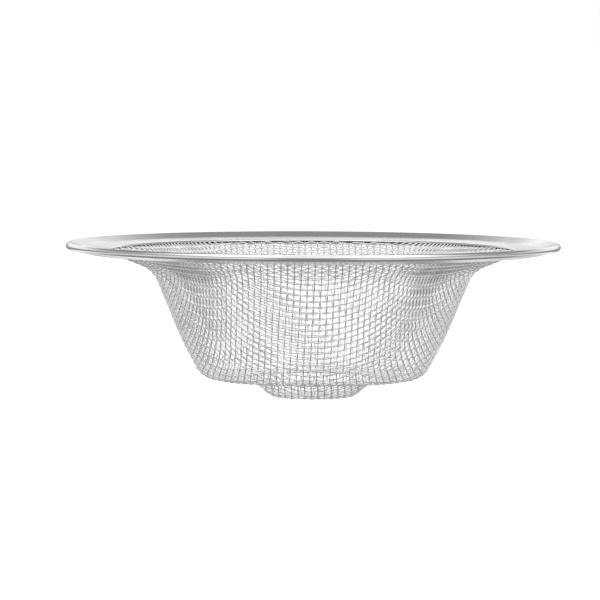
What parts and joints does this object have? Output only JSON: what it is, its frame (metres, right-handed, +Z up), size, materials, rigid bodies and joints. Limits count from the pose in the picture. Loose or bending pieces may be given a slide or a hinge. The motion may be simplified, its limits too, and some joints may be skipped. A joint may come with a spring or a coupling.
{
  "type": "basket strainer",
  "caption": "Sink drain strainer: a flared basket of woven steel wire cloth with a small sump in its floor, clamped in a flat hemmed sheet-steel rim.",
  "frame": {"origin": "centre of the underside of the sump floor, the lowest point of the strainer", "axes": "+Z up along the axis of the basket, out of its mouth; X and Y run along the two sets of wires in the flat floor"},
  "size_m": [0.114, 0.114, 0.0357],
  "materials": {
    "rim_steel": "bright rolled stainless sheet with a faint brushed grain",
    "wire_steel": "bright drawn stainless wire, plain weave"
  },
  "bodies": {
    "root": {"rim": "rim_steel", "mesh_basket": "wire_steel"}
  },
  "joints": []
}
